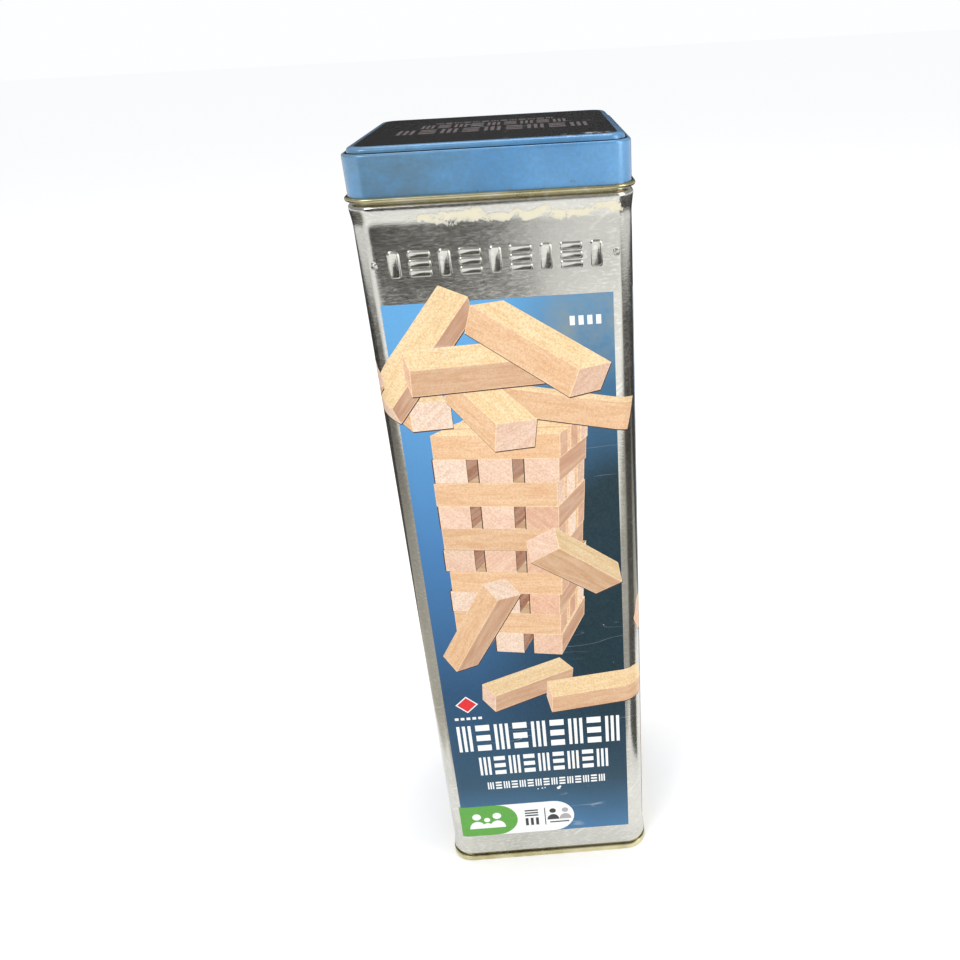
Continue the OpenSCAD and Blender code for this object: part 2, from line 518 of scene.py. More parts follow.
def ink_finish(m, vector, colour):
    """The finish that all printed inks share: a semi-gloss varnish with chips and scratches."""
    colour = m.mix(specks(m, vector, scale=330, rare=0.735, patches=24), colour, (0.86, 0.86, 0.82))
    colour = m.mix(m.product(scratches(m, vector, 0.62), 0.6), colour, (0.62, 0.66, 0.70))
    cloud = m.noise(vector, 40, 3)
    peel = m.bump(m.noise(vector, 800, 2), 0.12, 0.0002, dents(m, vector))
    m.set(Base_Color=colour, Metallic=0.1, Roughness=m.band(cloud, 0.3, 0.7, 0.27, 0.42),
          Coat_Weight=0.05, Coat_Roughness=0.15, Specular_IOR_Level=0.2, Normal=peel)


def panel_ink():
    """Sky blue above to mid blue below, with a dark cloud right of the middle and a painted glare high
    on the right.
    """
    m = Nodes("panel_ink")
    vector = m.coords()
    u, height, _ = m.split(m.coords("UV"))
    sky = m.ramp(
        height,
        (0.045, (0.062, 0.180, 0.340)),
        (0.14, (0.028, 0.075, 0.125)),
        (0.30, (0.022, 0.075, 0.160)),
        (0.50, (0.052, 0.180, 0.400)),
        (0.77, (0.118, 0.360, 0.660)),
    )
    across = m.math("DIVIDE", m.math("SUBTRACT", u, 0.33), 0.52)
    along = m.math("DIVIDE", m.math("SUBTRACT", height, 0.44), 0.42)
    far = m.math("SQRT", m.math("ADD", m.product(across, across), m.product(along, along)))
    far = m.math("ADD", far, m.band(m.noise(vector, 18, 3), 0.3, 0.7, -0.08, 0.08))
    colour = m.mix(m.band(far, 0.35, 1.05, 1.0, 0.0), sky, (0.008, 0.027, 0.038))
    grain = m.noise(vector, 1500, 2)
    colour = m.mix(m.band(grain, 0.3, 0.7, 0.0, 0.10), colour, (0.10, 0.16, 0.21))
    # Painted highlight: a pale, cloudy glare near the top right of each panel.
    painted_glare = m.product(m.within(u, 0.12, 0.40, 0.07), m.within(height, 0.715, 0.80, 0.022))
    painted_glare = m.product(painted_glare, m.band(m.noise(vector, 70, 5, 0.7), 0.34, 0.62, 0.15, 0.85))
    colour = m.mix(painted_glare, colour, (0.21, 0.26, 0.27))
    ink_finish(m, vector, colour)
    return m.material


def wood_ink():
    """Printed wood: each shape's own tint, with streaks along its own grain."""
    m = Nodes("wood_ink")
    vector = m.coords()
    tint = m.add("ShaderNodeAttribute", attribute_name="tint").outputs["Color"]
    grain = m.coords("UV")
    streak = m.noise(m.mapped(grain, (0.7, 7, 1)), 1, 4, 0.6, 0.4)
    figure = m.noise(m.mapped(grain, (0.25, 2.2, 1)), 1, 2, 0.5, 0.8)
    dots = m.noise(vector, 1900, 2)
    colour = m.mix(m.band(streak, 0.35, 0.65, 0.0, 0.36), tint, (0.74, 0.48, 0.28), "MULTIPLY")
    light = m.mix(0.22, tint, (0.95, 0.82, 0.62))
    colour = m.mix(m.band(figure, 0.35, 0.65, 0.25, 1.0), light, colour)
    colour = m.mix(m.band(dots, 0.40, 0.66, 0.0, 0.42), colour, (0.50, 0.24, 0.12))
    ink_finish(m, vector, colour)
    return m.material


def plain_ink():
    """White, green, red and grey inks: each shape's own tint, a little uneven."""
    m = Nodes("plain_ink")
    vector = m.coords()
    tint = m.add("ShaderNodeAttribute", attribute_name="tint").outputs["Color"]
    uneven = m.band(m.noise(vector, 900, 3), 0.35, 0.65, 0.0, 0.16)
    ink_finish(m, vector, m.mix(uneven, tint, (0.45, 0.47, 0.48), "MULTIPLY"))
    return m.material


def wood_material(name, grain_axis, tones):
    """Sanded hardwood: streaks and short pores along the grain, specks on the end grain."""
    m = Nodes(name)
    vector = m.coords()

    def stretched(along, across, upright):
        level = (along, across) if grain_axis == 0 else (across, along)
        return m.mapped(vector, (*level, upright))

    streak = m.noise(stretched(26, 420, 420), 1, 5, 0.62, 0.3)
    figure = m.noise(stretched(7, 60, 90), 1, 3, 0.55, 1.2)
    pores = m.band(m.noise(stretched(140, 1500, 1500), 1, 2), 0.63, 0.70)
    colour = m.mix(m.band(figure, 0.3, 0.7), tones[0], tones[1])
    colour = m.mix(m.band(streak, 0.38, 0.66, 0.0, 0.5), colour, tones[2])
    side = m.mix(m.product(pores, 0.55), colour, tones[3])
    facing = m.split(m.coords("Normal"))[grain_axis]
    end = m.band(m.math("ABSOLUTE", facing), 0.75, 0.9)
    speck = m.noise(vector, 1700, 3, 0.7)
    rings = m.noise(m.mapped(vector, (30, 30, 150)), 1, 3, 0.5, 0.8)
    end_colour = m.mix(m.band(rings, 0.35, 0.65), tones[1], tones[2])
    end_colour = m.mix(m.band(speck, 0.45, 0.65, 0.1, 0.75), end_colour, tones[3])
    colour = m.mix(end, side, end_colour)
    height = m.math("SUBTRACT", streak, m.product(pores, 0.6))
    m.set(Base_Color=colour, Roughness=m.band(streak, 0.3, 0.7, 0.48, 0.64),
          Normal=m.bump(height, 0.25, 0.0002))
    return m.material


def paper_material():
    """Uncoated paper, cloudy and faintly fibrous."""
    m = Nodes("leaflet_paper")
    vector = m.coords()
    cloud = m.noise(vector, 45, 4, 0.6)
    fibre = m.noise(m.mapped(vector, (900, 350, 900)), 1, 4, 0.7)
    colour = m.ramp(cloud, (0.3, (0.76, 0.74, 0.68)), (0.7, (0.86, 0.85, 0.80)))
    colour = m.mix(m.band(fibre, 0.5, 0.7, 0.0, 0.25), colour, (0.60, 0.57, 0.50))
    m.set(Base_Color=colour, Roughness=m.band(fibre, 0.3, 0.7, 0.72, 0.85),
          Normal=m.bump(fibre, 0.25, 0.0001))
    return m.material


TIN = tinplate_material()
GOLD = gold_material()
BLUE = lacquer_material(
    "blue_lacquer", deep=(0.075, 0.245, 0.49), bright=(0.130, 0.360, 0.67),
    chipped=(0.10, 0.14, 0.18), mottle_and_reflection_tone=(0.12, 0.185, 0.21), metallic=0.35, coat=0.5, specular=0.5)
NAVY = lacquer_material(
    "navy_lacquer", deep=(0.003, 0.004, 0.006), bright=(0.010, 0.009, 0.012),
    chipped=(0.20, 0.20, 0.20), mottle_and_reflection_tone=(0.006, 0.007, 0.008), metallic=0, coat=0, specular=0.12)
INKS = [panel_ink(), wood_ink(), plain_ink()]
PANEL, WOOD, PLAIN = range(3)

# ---- the tin's sheet metal

# The middle of the sheet, measured outwards from the face of a flat panel
PANEL_S = -SHEET / 2
NECK_S = PANEL_S - 0.35
LID_S = NECK_S + SHEET + 0.25
SEAM_H = 2.4
CHUCK_S, COVER_HOOK_S, BODY_HOOK_S, SEAM_S = (PANEL_S + i * PLY for i in (-1, 1, 2, 3))
MOUTH_R = 0.6
MOUTH_Z = EDGE - 1.85
FOOT_TOP = SEAM_H + 5.6
SHOULDER_LOW = HEM - 6.1


def wall_path():
    """The wall's sheet from the seam's hook up to the curl at the mouth, as (s, z) places."""
    hook = [(BODY_HOOK_S, SEAM_H - 0.55), (BODY_HOOK_S, 0.56), (PANEL_S, 0.56)]
    foot = [(PANEL_S, SEAM_H + 0.3), (PANEL_S + 0.5, SEAM_H + 1.9), (PANEL_S + 0.5, SEAM_H + 2.9),
            (PANEL_S, FOOT_TOP)]
    shoulder = [(PANEL_S, SHOULDER_LOW), (PANEL_S + 0.62, HEM - 1.5), (NECK_S, HEM - 0.55),
                (NECK_S, MOUTH_Z - 0.6)]
    curl = arc((NECK_S - MOUTH_R, MOUTH_Z), MOUTH_R, 0, 235, 14)
    return filleted(hook + foot + shoulder + curl[:1], 1.2) + [Vector(p) for p in curl[1:]]


def end_path():
    """The bottom end's sheet from its hook round the seam, up and over its groove."""
    floor_mid = FLOOR_Z - SHEET / 2
    seam = [(COVER_HOOK_S, 1.2), (COVER_HOOK_S, SEAM_H - 0.07), (SEAM_S, SEAM_H - 0.07),
            (SEAM_S, SHEET / 2), (CHUCK_S, SHEET / 2), (CHUCK_S, floor_mid)]
    groove = [(CHUCK_S - 2.0, floor_mid), (CHUCK_S - 2.5, floor_mid - 0.5),
              (CHUCK_S - 4.1, floor_mid - 0.5), (CHUCK_S - 4.6, floor_mid)]
    return filleted(seam + groove + [(-CORNER, floor_mid)], 0.3)


def lid_path():
    """The lid's sheet from the curled hem up the skirt and over the groove to the panel."""
    hem_r = 0.5
    edge_r = 0.6
    edge_mid, top_mid = EDGE - SHEET / 2, LID_TOP - SHEET / 2
    hem = arc((LID_S + hem_r + 0.05, HEM + hem_r + SHEET / 2), hem_r, 75, -150, 14)
    skirt = [(LID_S, HEM + 1.2), (LID_S, HEM + 1.6), (LID_S, edge_mid - edge_r - 0.4)]
    edge = arc((LID_S - edge_r, edge_mid - edge_r), edge_r, 0, 90, 8)
    step = [
        (LID_S - edge_r - 0.05, edge_mid),
        (-0.85, edge_mid),
        (-1.05, edge_mid - 0.35),
        (-1.35, edge_mid - 0.35),
        (-1.52, edge_mid + 0.1),
        (-1.62, top_mid - 0.45),
        (-2.6, top_mid + 0.05),
        (-3.7, top_mid),
        (-CORNER, top_mid),
    ]
    return [Vector(p) for p in hem + skirt + edge] + filleted(step, 0.9, 6)


def centre_sheet(points, faces, low_z):
    """Adds the flat middle of a lid or an end, as a closed plate inside the swept ring."""
    start = len(points)
    corners = ((-1, -1), (1, -1), (1, 1), (-1, 1))
    for z in (low_z, low_z + SHEET):
        points += [(x * FLAT, y * FLAT, z) for x, y in corners]
    a, b = start, start + 4
    faces += [(a + 3, a + 2, a + 1, a), (b, b + 1, b + 2, b + 3)]
    faces += [(a + i, a + (i + 1) % 4, b + (i + 1) % 4, b + i) for i in range(4)]


def make_tin_body():
    points, faces = swept(thickened(wall_path(), SHEET))
    wall = make_piece("tin_wall", points, faces, [TIN], "tin")
    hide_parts("tin_body")


def make_tin_bottom():
    points, faces = swept(thickened(end_path(), SHEET))
    centre_sheet(points, faces, FLOOR_Z - SHEET)
    end = make_piece("bottom_end", points, faces, [GOLD], "tin")
    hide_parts("tin_bottom")


def out_of_panels(place):
    """How far a point lies out of the tin's panels and round corners; negative inside."""
    beyond = Vector((max(abs(place.x) - FLAT, 0), max(abs(place.y) - FLAT, 0)))
    if beyond.x and beyond.y:
        return beyond.length - CORNER
    return max(abs(place.x), abs(place.y)) - HALF


def lid_finish(place, normal):
    """Gold hem and inside, blue skirt and shoulder, navy on the flat top, and navy in the groove as
    painted shade.
    """
    inward = normal.x * place.x + normal.y * place.y < -0.1 * HALF and place.z < EDGE - 0.6
    if place.z < HEM + 1.25 or inward or normal.z < -0.3:
        return GOLD
    s = out_of_panels(place)
    top = place.z > LID_TOP - 0.2 and s < -3.6
    # Painted shade: the groove's floor gets the dark navy lacquer to stand for the shadow in it.
    groove = -1.75 < s < -0.8 and EDGE - 0.6 < place.z < EDGE + 0.12
    return NAVY if top or groove else BLUE


def make_lid():
    """The slip cap, with its lacquers."""
    points, faces = swept(thickened(lid_path(), SHEET))
    centre_sheet(points, faces, LID_TOP - SHEET)
    coats = [BLUE, GOLD, NAVY]
    cap = make_piece("slip_cap", points, faces, coats, "slip_lid")
    for face in cap.data.polygons:
        face.material_index = coats.index(lid_finish(face.center / MM, face.normal))
    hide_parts("lid")


# ---- relief: frieze and side seam


def rounded_bar(w, h, inset):
    """A bar's outline with round corners, drawn in by the inset."""
    half_w, half_h = w / 2 - inset, h / 2 - inset
    radius = min(half_w, half_h) * 0.6
    outline = []
    for sx, sy, start in ((1, -1, -90), (1, 1, 0), (-1, 1, 90), (-1, -1, 180)):
        outline += arc((sx * (half_w - radius), sy * (half_h - radius)), radius, start, start + 90, 4)
    return outline


def raised(points, faces, rings):
    """Adds a closed relief shape from rings of equal length, the first one inside the sheet."""
    start, count = len(points), len(rings[0])
    for outline in rings:
        points += outline
    for level in range(len(rings) - 1):
        a, b = start + level * count, start + (level + 1) * count
        for i in range(count):
            k = (i + 1) % count
            faces.append((a + i, a + k, b + k, b + i))
    faces.append([start + i for i in reversed(range(count))])
    last = start + (len(rings) - 1) * count
    faces.append([last + i for i in range(count)])


def pressed_bar(points, faces, u, z, w, h):
    """One bar pressed out of the sheet, with a rim and a plateau."""
    steps = [(-0.25, -0.12), (-0.25, 0.0), (-0.05, 0.10), (0.06, 0.28), (0.20, 0.35), (0.32, 0.31),
             (0.40, 0.28)]
    rings = []
    for inset, out in steps:
        rings.append([on_wall(u + du, z + dz, out) for du, dz in rounded_bar(w, h, inset)])
    raised(points, faces, rings)


def make_frieze(name, middle):
    """Nine stacked-block marks between two dots: standing bars, then three lying ones."""
    points, faces = [], []
    marks = 9
    pitch = 2 * FLAT / marks
    for i in range(marks):
        u = middle + (i - (marks - 1) / 2) * pitch
        if i % 2 == 0:
            pressed_bar(points, faces, u, FRIEZE_Z, pitch * 0.42, FRIEZE_H)
        else:
            for level in (-1, 0, 1):
                z = FRIEZE_Z + level * FRIEZE_H * 0.36
                pressed_bar(points, faces, u, z, pitch * 0.84, FRIEZE_H * 0.26)
    for side in (-1, 1):
        pressed_bar(points, faces, middle + side * (FLAT + 2.2), FRIEZE_Z, 1.5, 1.5)
    make_piece(name, points, faces, [TIN], "tin")


def make_side_seam():
    """The locked seam down the back: a folded strip inside and a fine bead outside."""
    points, faces = [], []
    span = (FOOT_TOP + 0.5, SHOULDER_LOW - 0.5)
    fold = [(-2.5, -SHEET), (2.5, -SHEET), (2.5, -0.9), (2.3, -1.1), (-2.3, -1.1), (-2.5, -0.9)]
    bead = [(-0.25, -0.1), (0.25, -0.1)] + [(0.25 * math.cos(t), 0.12 * math.sin(t))
                                            for t in (0.4, 0.9, 1.57, 2.24, 2.74)]
    for outline in (fold, bead):
        rings = [[on_wall(2 * SIDE + u, z, out) for u, out in outline] for z in span]
        raised(points, faces, rings)
    make_piece("side_seam", points, faces, [TIN], "tin")


# ---- printed pictures

Shape = namedtuple("Shape", "outline ink tint along number")

WHITE = (0.86, 0.87, 0.86)
GREEN = (0.115, 0.36, 0.065)
RED = (0.70, 0.035, 0.04)
CHARCOAL = (0.05, 0.055, 0.06)
PALE_GREY = (0.40, 0.38, 0.40)
DIM_GREY = (0.17, 0.14, 0.145)
SHADOW = (0.085, 0.040, 0.035)

WOOD_TOP = (0.84, 0.66, 0.38)
WOOD_FACE = (0.74, 0.49, 0.29)
WOOD_SIDE = (0.64, 0.39, 0.27)
WOOD_END = (0.74, 0.46, 0.33)
WOOD_EDGE = (0.92, 0.72, 0.47)
WOOD_GAP = (0.20, 0.075, 0.05)
WOOD_PALE = (0.80, 0.68, 0.58)


def area(outline):
    """Twice the signed area of an outline."""
    return sum(a[0] * b[1] - b[0] * a[1] for a, b in zip(outline, outline[1:] + outline[:1]))


def inset(outline, by):
    """A convex outline drawn in by a distance."""
    made = []
    for i, here in enumerate(outline):
        here = Vector(here)
        back = (here - Vector(outline[i - 1])).normalized()
        on = (Vector(outline[(i + 1) % len(outline)]) - here).normalized()
        bend = back.x * on.y - back.y * on.x
        if abs(bend) < 0.05:
            return None
        made.append(here + (on - back) * by / bend)
    return made if 0.2 < area(made) / area(outline) < 1 else None


class Picture:
    """Flat shapes to be printed, each one over those before it."""

    def __init__(self, seed):
        self.shapes = []
        self.dice = random.Random(seed)

    def add(self, outline, tint=WHITE, ink=PLAIN, along=(1, 0)):
        if area(outline) < 0:
            outline = outline[::-1]
        number = len(self.shapes)
        self.shapes.append(Shape([Vector(p) for p in outline], ink, tint, Vector(along), number))

    def rectangle(self, left, bottom, right, top, tint=WHITE, ink=PLAIN):
        self.add([(left, bottom), (right, bottom), (right, top), (left, top)], tint, ink)

    def disc(self, u, z, radius, tint, steps):
        self.add(arc((u, z), radius, 0, 360, steps)[:-1], tint)

    def dashes(self, left, bottom, w, h, pitch, count):
        """Small bars in a row."""
        for i in range(count):
            self.rectangle(left + i * pitch, bottom, left + i * pitch + w, bottom + h)

    def pill(self, left, bottom, right, top, tint):
        """A bar with a square left end and a round right end."""
        radius = (top - bottom) / 2
        end = arc((right - radius, bottom + radius), radius, -90, 90, 14)
        self.add([(left, bottom)] + end + [(left, top)], tint)

    def stack_mark(self, u, z, w, h, standing, tint=WHITE):
        """Three bars standing side by side, or three lying one on another."""
        half = (w if standing else h) * 0.11
        for place in (-1, 0, 1):
            if standing:
                middle = u + place * (w / 2 - half)
                self.rectangle(middle - half, z, middle + half, z + h, tint)
            else:
                middle = z + h / 2 + place * (h / 2 - half)
                self.rectangle(u - w / 2, middle - half, u + w / 2, middle + half, tint)

    def mark_row(self, left, right, bottom, top, count, tint=WHITE):
        """Stack marks in a row, standing and lying by turns."""
        pitch = (right - left) / count
        for i in range(count):
            u = left + (i + 0.5) * pitch
            self.stack_mark(u, bottom, pitch * 0.76, top - bottom, i % 2 == 0, tint)

    def person(self, u, z, h, tint):
        """A round head over round shoulders."""
        self.disc(u, z + h * 0.78, h * 0.21, tint, 12)
        shoulders = arc((u, z), h * 0.38, 0, 180, 10)
        self.add([(x, z + (y - z) * 1.25) for x, y in shoulders], tint)


# The pictured blocks: x right, y away from the viewer and z up, seen in one-point perspective
VIEW_DISTANCE = 270
EYE_U, EYE_Z = 0, 240
LEAN_U, LEAN_Z, LEAN = -26, 150, 0.0013
BLOCK = (41, 11, 8.75)
BEVEL = 0.16


def sketch(point):
    """Where a point of the pictured scene lands on the wall; the picture widens upwards."""
    near = VIEW_DISTANCE / (VIEW_DISTANCE + point.y)
    u, z = EYE_U + (point.x - EYE_U) * near, EYE_Z + (point.z - EYE_Z) * near
    return Vector((LEAN_U + (u - LEAN_U) * (1 + (z - LEAN_Z) * LEAN), z))


def unsketched(u, z, y):
    """The point at depth y that is seen at (u, z)."""
    near = VIEW_DISTANCE / (VIEW_DISTANCE + y)
    u = LEAN_U + (u - LEAN_U) / (1 + (z - LEAN_Z) * LEAN)
    return Vector((EYE_U + (u - EYE_U) / near, y, EYE_Z + (z - EYE_Z) / near))


def block_axes(along, roll):
    """A block's three directions: its length, then its width and its thickness."""
    length = Vector(along).normalized()
    width = Vector((0, 0, 1)).cross(length).normalized()
    width = Matrix.Rotation(math.radians(roll), 3, length) @ width
    return length, width, length.cross(width)


def wood_tone(normal, axis):
    """A pictured face's colour; the light comes from the upper left, in front."""
    if axis == 0:
        tone = Vector(WOOD_END)
    elif normal.z > 0.5:
        tone = Vector(WOOD_TOP)
    else:
        tone = Vector(WOOD_FACE).lerp(Vector(WOOD_SIDE), min(max(normal.x + 0.1, 0), 1))
    lit = normal.dot(Vector((-0.45, -0.65, 0.61)))
    return tone * (0.74 + 0.30 * max(lit, 0))


def draw_shadow(picture, centre, half, by):
    """A whole block's outline in dark ink, moved a little."""
    corners = [centre + half[0] * i + half[1] * j + half[2] * k
               for i in (-1, 1) for j in (-1, 1) for k in (-1, 1)]
    seen = [sketch(p) + Vector(by) for p in corners]
    picture.add([seen[i] for i in convex_hull_2d(seen)], SHADOW)


def draw_block(picture, centre, axes, size=BLOCK, shadow=None, in_gap=False, covered=False):
    """Draws the visible faces of a block, each with a pale bevel, over a thin shadow.

    Faces inside a gap of the tower are darker, and so is a top with another layer on it.
    """
    half = [axis * length / 2 for axis, length in zip(axes, size)]
    if shadow:
        draw_shadow(picture, centre, half, shadow)
    shade = picture.dice.uniform(0.92, 1.05)
    paler = picture.dice.choice((0.0, 0.25, 0.5, 0.85))
    for axis in range(3):
        b, c = half[(axis + 1) % 3], half[(axis + 2) % 3]
        for sign in (-1, 1):
            middle = centre + half[axis] * sign
            corners = [middle - b - c, middle + b - c, middle + b + c, middle - b + c][::sign]
            outline = [sketch(p) for p in corners]
            if area(outline) < 0.8:
                continue
            normal = axes[axis] * sign
            front, top = normal.y < -0.8, normal.z > 0.5
            tone = wood_tone(normal, axis) * shade
            grain = sketch(centre + half[0]) - sketch(centre)
            if axis == 0:
                tone = tone.lerp(Vector(WOOD_PALE), paler)
                lean = picture.dice.choice((-1, 1))
                grain = (outline[1] - outline[0]) + (outline[2] - outline[1]) * lean
            if in_gap and not front:
                tone = tone.lerp(Vector(WOOD_GAP), 0.8)
            if covered and top:
                tone = tone.lerp(Vector(WOOD_GAP), 0.55)
            if front or not (in_gap or covered and top):
                picture.add(outline, Vector(WOOD_EDGE).lerp(tone, 0.35), WOOD, grain)
            picture.add(inset(outline, BEVEL) or outline, tone, WOOD, grain)


def draw_tower(picture, corner, layers, turn):
    """A tower seen over its near right corner, its layers lying across each other in turn."""
    length, width, thick = BLOCK
    turn = math.radians(turn)
    left = Vector((-math.cos(turn), math.sin(turn), 0))
    away = Vector((math.sin(turn), math.cos(turn), 0))
    up = Vector((0, 0, 1))
    spread = (length - width) / 2
    for layer in range(layers):
        middle = unsketched(*corner, 0) + up * thick * (layer + 0.5) + (left + away) * length / 2
        slide = left * picture.dice.uniform(-0.8, 0.8) + away * picture.dice.uniform(-0.6, 0.6)
        covered = layer < layers - 1
        if layer % 2 == 0:
            for place in (1, 0, -1):
                at = middle + slide + left * place * spread
                in_gap = covered and place != -1
                draw_block(picture, at, (away, left, up), BLOCK, (-0.35, 0), in_gap)
        else:
            slab = (length - 1, length - 2, thick)
            draw_block(picture, middle, (-left, away, up), slab, covered=covered)
            for place in (1, 0, -1):
                at = middle + slide + away * place * spread
                draw_block(picture, at, (-left, away, up), covered=covered)


def draw_loose(picture, blocks):
    """Loose blocks: the place where each is seen, its depth, direction and roll."""
    for (u, z), depth, along, roll in blocks:
        centre = unsketched(u, z, depth)
        draw_block(picture, centre, block_axes(along, roll), BLOCK, (0.15, -0.4))


def draw_badge(picture):
    """A white tab with a green end: pictograms of a family and of two players at a table."""
    bottom, top = ART_LOW, 30.4
    picture.pill(-35.2, bottom, 11, top, WHITE)
    picture.pill(-35.2, bottom, -12, top, GREEN)
    for u, h in ((-28.5, 8.5), (-20.3, 8.5), (-24.4, 6)):
        picture.person(u, bottom + 4.2, h, WHITE)
    picture.stack_mark(-6.2, bottom + 4.0, 5.4, 4.2, True, CHARCOAL)
    picture.stack_mark(-6.2, bottom + 9.2, 5.4, 3.6, False, CHARCOAL)
    picture.rectangle(-1.0, bottom + 3.6, -0.6, top - 3.4, CHARCOAL)
    picture.person(2.4, bottom + 6.4, 6.4, CHARCOAL)
    picture.person(7.4, bottom + 6.4, 6.4, PALE_GREY)
    picture.rectangle(1.0, bottom + 4.6, 8.8, bottom + 5.3, CHARCOAL)


def panel_picture(seed):
    """A picture that starts with the wall's blue panel."""
    picture = Picture(seed)
    picture.rectangle(ART_LEFT, ART_LOW, ART_RIGHT, ART_HIGH, ink=PANEL)
    return picture


def front_picture():
    """A tower with loose blocks on it and before it, over a lozenge, rows of marks and the badge."""
    picture = panel_picture(3)
    draw_tower(picture, (10.4, 104.5), 10, 16)
    draw_loose(picture, [
        ((-27.5, 203.5), 0, (0.24, -0.97, 0.0), 0),
        ((17, 201), 2, (0.97, -0.16, -0.19), 0),
        ((-25.5, 220), -10, (0.53, 0.42, 0.74), -52),
        ((-6.5, 201.5), -20, (0.34, -0.90, -0.26), 0),
        ((-5.5, 215.5), -22, (0.97, 0.22, 0.02), 27),
        ((9.5, 220.5), -24, (0.62, -0.66, -0.43), 4),
        ((18, 143.5), -6, (0.60, 0.62, -0.60), -38),
        ((-17.5, 119.5), -4, (-0.45, 0.30, -0.85), 14),
        ((-2.5, 92), 34, (0.84, 0.52, 0.0), 8),
        ((22.5, 87), 16, (0.985, 0.17, 0.0), 12),
    ])
    picture.dashes(20, 226.5, 1.5, 2.8, 2.6, 4)
    picture.dashes(-31.2, 76.6, 1.4, 1.2, 2.2, 5)
    lozenge = [(-26, 80), (-21.8, 84), (-26, 88), (-30.2, 84)]
    picture.add(lozenge)
    picture.add(inset(lozenge, 0.45), RED)
    picture.mark_row(-32, 31.5, 60.5, 73.5, 9)
    picture.mark_row(-25, 26.5, 47.5, 57, 9)
    picture.mark_row(-22.6, 24.6, 39.6, 43.4, 15)
    draw_badge(picture)
    chips = [(-2.6, 37.9, 0.3), (-0.9, 38.1, 0.35), (0.2, 38.3, 0.3)]
    chips += [(5.6, 37.6, 0.75), (6.2, 38.3, 0.5)]
    for u, z, radius in chips:
        picture.disc(u, z, radius, WHITE, 7)
    return picture


def side_picture(seed, flip):
    """Blocks falling on to a short tower; flip leans the whole picture the other way."""
    picture = panel_picture(seed)
    draw_tower(picture, (14, 72), 6, 13.5 + 4 * flip)
    draw_loose(picture, [
        ((-8, 216), -20, (0.80 * flip, -0.30, 0.52), 20),
        ((17, 200), -34, (0.52, -0.56, -0.64 * flip), 12),
        ((-17, 176), -10, (0.34, -0.40, 0.85), 30),
        ((6, 163), -28, (0.93, -0.30 * flip, 0.20), 16),
        ((-13.5 - 3 * flip, 116), -12, (0.90, 0.34, -0.26), 4),
        ((4, 134), -30, (0.60, -0.74, -0.30), 0),
        ((-14, 61), 0, (0.97, -0.20, 0.0), 0),
    ])
    picture.mark_row(-27, 27, 36.5, 46.5, 9)
    picture.mark_row(-20, 20, 28.5, 32, 13)
    return picture


def back_picture():
    """Three steps of play as white diagrams over a low tower, each side of the seam."""
    picture = panel_picture(11)
    for step in range(3):
        z = 203 - step * 37
        for row in range(4 + step):
            picture.stack_mark(-17, z + row * 4.6, 15, 4.0, row % 2 == 0)
        for row in range(3):
            picture.rectangle(4, z + 3 + row * 5.4, 26 - row * 4, z + 5 + row * 5.4)
    draw_tower(picture, (16, 58), 5, 13.5)
    draw_loose(picture, [((-24, 60), -20, (0.9, -0.4, 0.0), 0)])
    picture.mark_row(-30, 28, 34, 44, 9)
    return picture


def lid_picture():
    """Three rows of marks that read from the back of the tin."""
    picture = Picture(5)
    picture.mark_row(-30, 28, 1.5, 12.5, 9, DIM_GREY)
    picture.mark_row(-24, 22, -11.5, -2.5, 9, DIM_GREY)
    picture.mark_row(-20, 18, -18, -14.5, 13, DIM_GREY)
    return picture


def leaflet_picture():
    """Diagrams of a growing stack, with ruled lines under each."""
    picture = Picture(7)
    for step in range(3):
        u = -19 + step * 19
        for row in range(3 + step):
            picture.stack_mark(u, 2 + row * 3.6, 11, 3.0, row % 2 == 0, CHARCOAL)
        for row in range(6):
            z = -5 - row * 3.4
            picture.rectangle(u - 6.5, z, u + 6.5 - row % 3 * 2, z + 0.6, CHARCOAL)
    return picture


def corner_cuts(low_u, high_u):
    """The upright lines along which a print has to bend round the tin's corners."""
    cuts = []
    for side in (-1, 0, 1):
        for step in range(-CORNER_STEPS, CORNER_STEPS + 1):
            reach = FLAT + ARC * abs(step) / CORNER_STEPS
            cuts.append(side * SIDE + math.copysign(reach, step))
    return sorted({round(u, 6) for u in cuts if low_u < u < high_u})


def holds(outline, point):
    """Whether a convex outline holds a point."""
    return all((b.x - a.x) * (point.y - a.y) >= (b.y - a.y) * (point.x - a.x)
               for a, b in zip(outline, outline[1:] + outline[:1]))


def subdivided(shapes, bends):
    """Cuts overlapping convex shapes into triangles, and says which one is on top in each."""
    points, edges = [], []
    for shape in shapes:
        start, count = len(points), len(shape.outline)
        edges += [(start + i, start + (i + 1) % count) for i in range(count)]
        points += shape.outline
    low_z, high_z = min(p.y for p in points) - 1, max(p.y for p in points) + 1
    if bends:
        for u in corner_cuts(min(p.x for p in points), max(p.x for p in points)):
            edges.append((len(points), len(points) + 1))
            points += [Vector((u, low_z)), Vector((u, high_z))]
    flat, _, faces, *_ = delaunay_2d_cdt(points, edges, [], 0, 1e-4, True)
    boxes = [(min(p.x for p in s.outline), max(p.x for p in s.outline),
              min(p.y for p in s.outline), max(p.y for p in s.outline), s) for s in shapes[::-1]]
    kept = []
    for face in faces:
        middle = sum((flat[i] for i in face), Vector((0, 0))) / len(face)
        if bends and abs(middle.x) > SIDE / 2:
            continue
        for left, right, bottom, top, shape in boxes:
            if left < middle.x < right and bottom < middle.y < top and holds(shape.outline, middle):
                kept.append((face, shape))
                break
    return flat, kept


# How far a print stands out of its surface, and how far its underside lies in it
SKIN = 0.05


